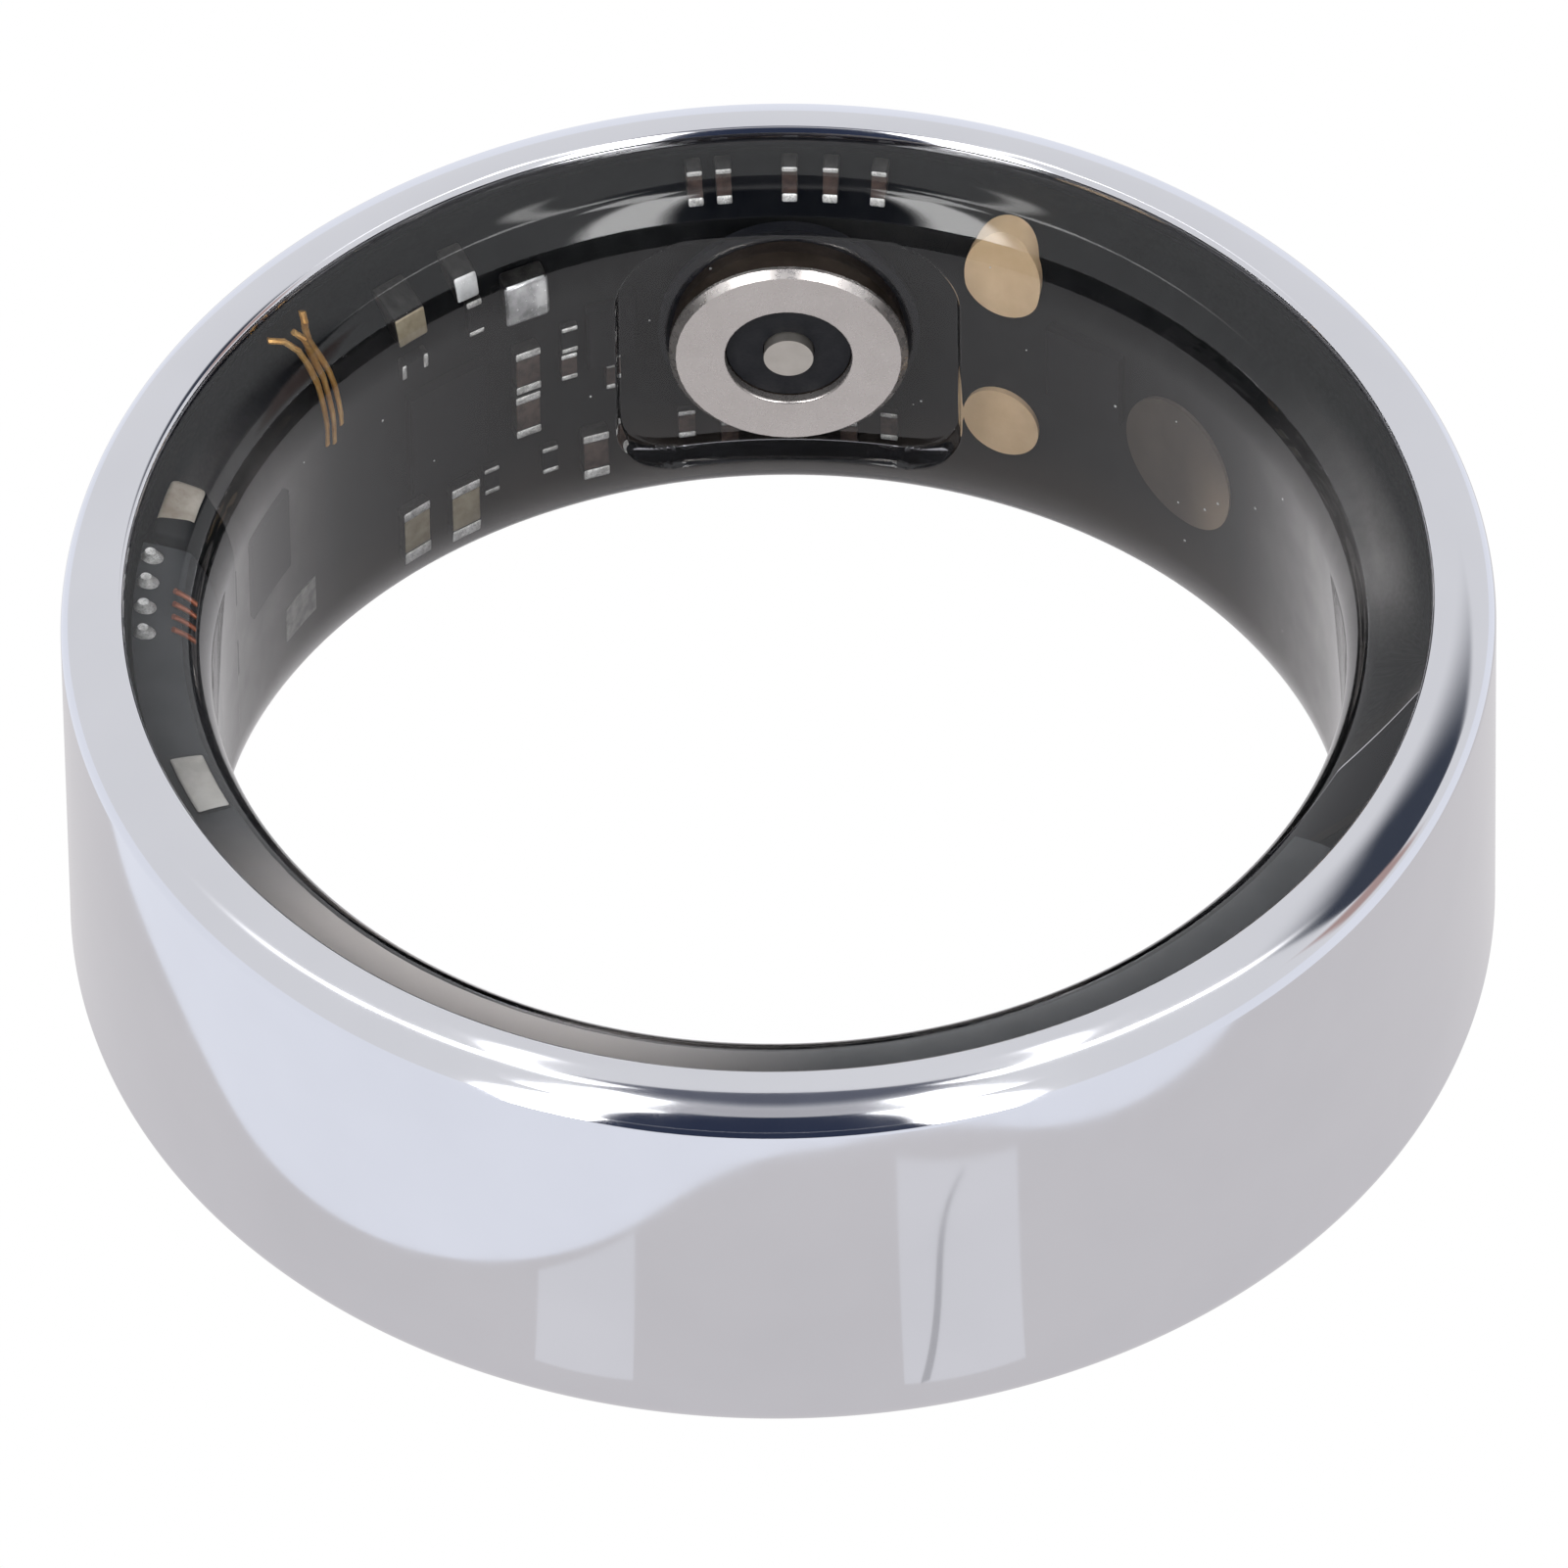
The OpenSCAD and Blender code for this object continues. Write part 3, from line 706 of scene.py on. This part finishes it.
FLOOR_Z = -HALF_W * MM - 0.00002         # metres
FLOOR_HALF, SHEET_HALF = 600, 550
SHEET_UP, PLATE_UP, GLEAM_UP, THREAD_UP = 0.004, 0.008, 0.012, 0.014     # above the floor
GAP_UP, STRIP_UP, SHADE_UP = 0.016, 0.018, 0.019
PLATE_CORNERS = ((-17, 3), (-15, -5), (-1.5, -19.3), (6, -19), (17, -9), (22, 3),
                 (12, 22), (-12, 22))
PLATE_ROUND = 3
GLEAM_LEFT = ((-4.75, -12.4), (-2.8, -13.0), (-4.1, -16.3), (-6.0, -14.1))
GLEAM_RIGHT = ((2.6, -13.0), (5.0, -12.3), (8.1, -16.4), (4.3, -18.3))
THREAD = ((3.0, -12.9), (4.6, -14.9), (4.6, -16.4), (6.3, -17.0))        # a bent line's handles
THREAD_HALF, THREAD_STEPS = 0.1, 24
SHADE_R, SHADE_STEPS = (7.5, 14.0), 180  # the painted shadow under the ring
STRIP_LEFT, STRIP_RIGHT = (-3.9, -11.6), (3.7, -11.7)    # where the strips start
FAR = 460                                # and where they end


def emission(name, colour, strength=1.0):
    """A material that only glows."""
    material, tree, out = new_material(name)
    tree.links.new(glow(tree, colour, strength), out.inputs["Surface"])
    return material


def stage_piece(name, verts, faces, material):
    """A piece of the studio, from points in metres."""
    mesh = bpy.data.meshes.new(name)
    mesh.from_pydata(verts, [], faces)
    mesh.materials.append(material)
    piece = bpy.data.objects.new(name, mesh)
    scene.collection.objects.link(piece)
    return piece


def card(name, verts, faces, material):
    """A card of the studio that only reflections and the moulding see."""
    piece = stage_piece(name, verts, faces, material)
    piece.visible_camera = False
    piece.visible_diffuse = False
    piece.visible_shadow = False
    return piece


def table_point(x, y, up):
    """A place in mm on the table, at a height above the floor, in metres."""
    return (x * MM, y * MM, FLOOR_Z + up * MM)


def table_card(name, corners, up, material):
    """A flat card on the table from the places of its corners."""
    card(name, [table_point(x, y, up) for x, y in corners], [tuple(range(len(corners)))], material)


def square(half):
    return ((-half, -half), (half, -half), (half, half), (-half, half))


def rounded_outline(corners, radius, steps=8):
    """Corners of a polygon rounded off, in mm on the table."""
    points = []
    n = len(corners)
    for i in range(n):
        here, back, ahead = Vector(corners[i]), Vector(corners[i - 1]), Vector(corners[(i + 1) % n])
        start = here + (back - here).normalized() * radius
        end = here + (ahead - here).normalized() * radius
        for k in range(steps + 1):
            t = k / steps
            points.append(start.lerp(here, t).lerp(here.lerp(end, t), t))
    return points


def make_floor():
    """White paper to the camera, in mirrors and through the moulding, plain paper to light."""
    material, tree, out = new_material("floor_paper")
    diffuse = tree.nodes.new("ShaderNodeBsdfDiffuse")
    diffuse.inputs["Color"].default_value = (0.9, 0.9, 0.9, 1)
    path = tree.nodes.new("ShaderNodeLightPath")
    seen = combine(tree, "MAXIMUM", path.outputs["Is Camera Ray"], path.outputs["Is Glossy Ray"])
    seen = combine(tree, "MAXIMUM", seen, path.outputs["Is Transmission Ray"])
    mix_shaders(tree, out, seen, diffuse.outputs["BSDF"], glow(tree, (1, 1, 1), 1.0))
    verts = [table_point(x, y, 0) for x, y in square(FLOOR_HALF)]
    stage_piece("floor", verts, [(0, 1, 2, 3)], material)


def make_shade():
    """A painted shadow under the ring: a dark card with painted light in pale wisps near the
    contact, which only shows through the moulding.
    """
    verts, faces = [], []
    for k in range(SHADE_STEPS):
        a = 2 * math.pi * k / SHADE_STEPS
        for r in SHADE_R:
            verts.append(table_point(r * math.cos(a), r * math.sin(a), SHADE_UP))
        here, there = 2 * k, 2 * ((k + 1) % SHADE_STEPS)
        faces.append((here, here + 1, there + 1, there))
    material, tree, out = new_material("painted_shade_under_ring")
    light = tree.nodes.new("ShaderNodeEmission")
    # Painted light: pale wisps on the painted shadow, on the contact's side of the ring.
    painted_light_wisps = noise(tree, 0.5, detail=5.0, rough=0.6, stretch=(0.7, 2.2, 1))
    painted_light_wisps = combine(tree, "MULTIPLY", painted_light_wisps, reach(tree, "Y", 6.0, 8.5))
    colour = blend_colours(tree, painted_light_wisps, (0.008, 0.008, 0.010), (0.17, 0.17, 0.18), 0.42, 0.72)
    tree.links.new(colour, light.inputs["Color"])
    tree.links.new(light.outputs["Emission"], out.inputs["Surface"])
    shade = card("shade", verts, faces, material)
    shade.visible_glossy = False


def make_table():
    """What the band mirrors of the table: a light sheet, a grey plate and two light strips."""
    table_card("sheet", square(SHEET_HALF), SHEET_UP, emission("table_sheet", (0.93, 0.96, 1.04)))
    table_card("plate", rounded_outline(PLATE_CORNERS, PLATE_ROUND), PLATE_UP,
               emission("table_plate", (0.70, 0.685, 0.70)))
    gleam = emission("table_gleam", (0.80, 0.80, 0.83))
    table_card("gleam_left", GLEAM_LEFT, GLEAM_UP, gleam)
    table_card("gleam_right", GLEAM_RIGHT, GLEAM_UP, gleam)
    a, b, c, d = (Vector(handle) for handle in THREAD)
    verts = []
    for k in range(THREAD_STEPS + 1):
        t = k / THREAD_STEPS
        near, middle, away = a.lerp(b, t), b.lerp(c, t), c.lerp(d, t)
        here = near.lerp(middle, t).lerp(middle.lerp(away, t), t)
        for side in (-THREAD_HALF, THREAD_HALF):
            verts.append(table_point(here.x + side, here.y, THREAD_UP))
    faces = [(2 * k, 2 * k + 1, 2 * k + 3, 2 * k + 2) for k in range(THREAD_STEPS)]
    card("thread", verts, faces, emission("table_thread", (0.52, 0.52, 0.54)))


def make_strips():
    """A dark strip and two bright ones on the table, which run away from the ring in front."""
    gap = emission("tent_gap", (0.03, 0.04, 0.075))
    white = emission("strip_light", (1, 1, 1), 9.0)
    for name, starts, turns, near, up, material in (
            ("floor_gap", (STRIP_LEFT, STRIP_RIGHT), (246, 290), 14, GAP_UP, gap),
            ("floor_strip_left", (STRIP_LEFT, STRIP_LEFT), (230, 247), 16, STRIP_UP, white),
            ("floor_strip_right", (STRIP_RIGHT, STRIP_RIGHT), (289, 306), 16, STRIP_UP, white)):
        corners = []
        for r, ends in ((near, (0, 1)), (FAR, (1, 0))):
            for end in ends:
                a = math.radians(turns[end])
                corners.append((starts[end][0] + r * math.cos(a), starts[end][1] + r * math.sin(a)))
        table_card(name, corners, up, material)


# The tent round the ring: turns about Z and rises in degrees, radii in metres

CARD_STEPS, RIBBON_STEPS = 24, 12
RIBBON_PATH = ((204, 77), (190, 74), (176, 67), (166, 55), (154, 43.6))  # turn and rise
RIBBON_HALF, RIBBON_R = 5.5, 0.49
TENT_COLOUR, TENT_STRENGTH = (0.92, 0.93, 0.96), 0.92
KEY_PLACE, KEY_SIZE, KEY_POWER = (-0.25, -0.35, 0.5), 0.3, 1.2           # metres and watts


def make_world():
    """The pale tent beyond all cards."""
    world = bpy.data.worlds.new("tent")
    scene.world = world
    world.use_nodes = True
    tree = world.node_tree
    tree.nodes.clear()
    out = tree.nodes.new("ShaderNodeOutputWorld")
    tent = tree.nodes.new("ShaderNodeBackground")
    tent.inputs["Color"].default_value = (*TENT_COLOUR, 1)
    tent.inputs["Strength"].default_value = TENT_STRENGTH
    tree.links.new(tent.outputs["Background"], out.inputs["Surface"])


def soft_emission(name, colour, strength, turn_fade, rise_fade, power=1.0):
    """An emission that fades out towards a card's sides, by shares of its width and height."""
    material, tree, out = new_material(name)
    weight = None
    for axis, (low, high) in (("X", turn_fade), ("Y", rise_fade)):
        share = coordinate(tree, "UV", axis)
        for fade, start, end in ((low, 0, low), (high, 1, 1 - high)):
            if fade == 0:
                continue
            step = soft_step(tree, share, start, end)
            weight = step if weight is None else combine(tree, "MULTIPLY", weight, step)
    shaped = tree.nodes.new("ShaderNodeMath")
    shaped.operation = "POWER"
    shaped.inputs[1].default_value = power
    tree.links.new(weight, shaped.inputs[0])
    clear = tree.nodes.new("ShaderNodeBsdfTransparent")
    mix_shaders(tree, out, shaped.outputs[0], clear.outputs["BSDF"], glow(tree, colour, strength))
    return material


def on_tent(radius, turn, rise):
    """A point of the tent, in metres."""
    a, e = math.radians(turn), math.radians(rise)
    return (radius * math.cos(e) * math.cos(a), radius * math.cos(e) * math.sin(a),
            radius * math.sin(e))


def curved_card(name, rows, material):
    """A curved card from rows of points, with the shares of its width and height."""
    columns = len(rows[0])
    faces = []
    for i in range(len(rows) - 1):
        for j in range(columns - 1):
            k = i * columns + j
            faces.append((k, k + 1, k + columns + 1, k + columns))
    piece = card(name, [point for row in rows for point in row], faces, material)
    shares = piece.data.uv_layers.new(name="shares")
    for loop in piece.data.loops:
        i, j = divmod(loop.vertex_index, columns)
        shares.data[loop.index].uv = (j / (columns - 1), i / (len(rows) - 1))


def tent_panel(name, turns, rises, material, radius):
    """A panel of the tent between two turns and two rises."""
    rows = []
    for i in range(CARD_STEPS + 1):
        rise = between(rises, i / CARD_STEPS)
        rows.append([on_tent(radius, between(turns, j / CARD_STEPS), rise)
                     for j in range(CARD_STEPS + 1)])
    curved_card(name, rows, material)


def tent_ribbon(name, path, material):
    """A narrow curved light of the tent along points of turn and rise."""
    rows = [[], [], []]
    for k in range((len(path) - 1) * RIBBON_STEPS + 1):
        i = min(k // RIBBON_STEPS, len(path) - 2)
        t = k / RIBBON_STEPS - i
        turn = between((path[i][0], path[i + 1][0]), t)
        rise = between((path[i][1], path[i + 1][1]), t)
        for row, side in zip(rows, (-RIBBON_HALF, 0, RIBBON_HALF)):
            row.append(on_tent(RIBBON_R, turn, rise + side))
    curved_card(name, rows, material)


def make_tent():
    """The tent: a dark gap at the camera, light strips beside it and a bright ring above."""
    ribbon = soft_emission("ribbon_light", (1, 1, 1), 6.0, (0.02, 0.45), (0.5, 0.5), power=2.0)
    crown = soft_emission("tent_crown", (0.13, 0.14, 0.18), 1.0, (0.05, 0.05), (0.55, 0))
    line = soft_emission("line_light", (1, 1, 1), 4.5, (0.05, 0.3), (0.45, 0.45))
    lamp = soft_emission("lamp_card", (1, 1, 1), 6.5, (0.12, 0.12), (0.25, 0.25))
    seam = soft_emission("tent_seam", (0.5, 0.5, 0.53), 1.0, (0.1, 0.1), (0.3, 0.3))
    gap = soft_emission("tent_gap_soft", (0.03, 0.04, 0.075), 1.0, (0.1, 0.1), (0, 0.08))
    strip = soft_emission("strip_soft", (1, 1, 1), 9.0, (0.3, 0.3), (0, 0.1), power=2.0)
    curtain = soft_emission("dark_curtain", (0.05, 0.06, 0.085), 1.0, (0.08, 0.5), (0.1, 0.4))
    warm = soft_emission("warm_wall", (0.50, 0.36, 0.34), 1.0, (0.25, 0.25), (0.3, 0.3))
    tent_ribbon("ribbon_left", RIBBON_PATH, ribbon)
    tent_ribbon("ribbon_right", [(180 - turn, rise) for turn, rise in RIBBON_PATH], ribbon)
    for name, turns, rises, material, radius in (           # a nearer card covers a farther one
            ("crown_front", (180, 360), (70, 90), crown, 0.50),
            ("line_left", (194, 128), (71.5, 75.5), line, 0.488),
            ("line_right", (-14, 52), (71.5, 75.5), line, 0.488),
            ("lamp_left", (214, 238), (61, 76), lamp, 0.485),
            ("lamp_right", (-60, -38), (61, 76), lamp, 0.485),
            ("seam", (238, 298), (67, 76), seam, 0.48),
            ("camera_gap", (243, 292), (0, 70), gap, 0.47),
            ("strip_left", (226, 249), (0, 68), strip, 0.46),
            ("strip_right", (286, 309), (0, 68), strip, 0.46),
            ("curtain", (8, 58), (26, 60), curtain, 0.46),
            ("warm_wall", (-8, 16), (6, 40), warm, 0.45)):
        tent_panel(name, turns, rises, material, radius)


def make_key():
    """A soft lamp from the upper left, which mirrors don't see."""
    lamp = bpy.data.lights.new("key", "AREA")
    lamp.shape = "RECTANGLE"
    lamp.size, lamp.size_y = KEY_SIZE, KEY_SIZE
    lamp.energy = KEY_POWER
    key = bpy.data.objects.new("key", lamp)
    scene.collection.objects.link(key)
    place = Vector(KEY_PLACE)
    key.location = place
    key.rotation_mode = "QUATERNION"
    key.rotation_quaternion = (-place).to_track_quat("-Z", "Y")
    key.visible_camera = False
    key.visible_glossy = False


dress_nodes()
make_shell()
make_liner()
dress_parts()
make_dust()
make_camera()
make_floor()
make_shade()
make_table()
make_strips()
make_world()
make_tent()
make_key()
scene.view_settings.view_transform = "Standard"

bpy.context.view_layer.update()
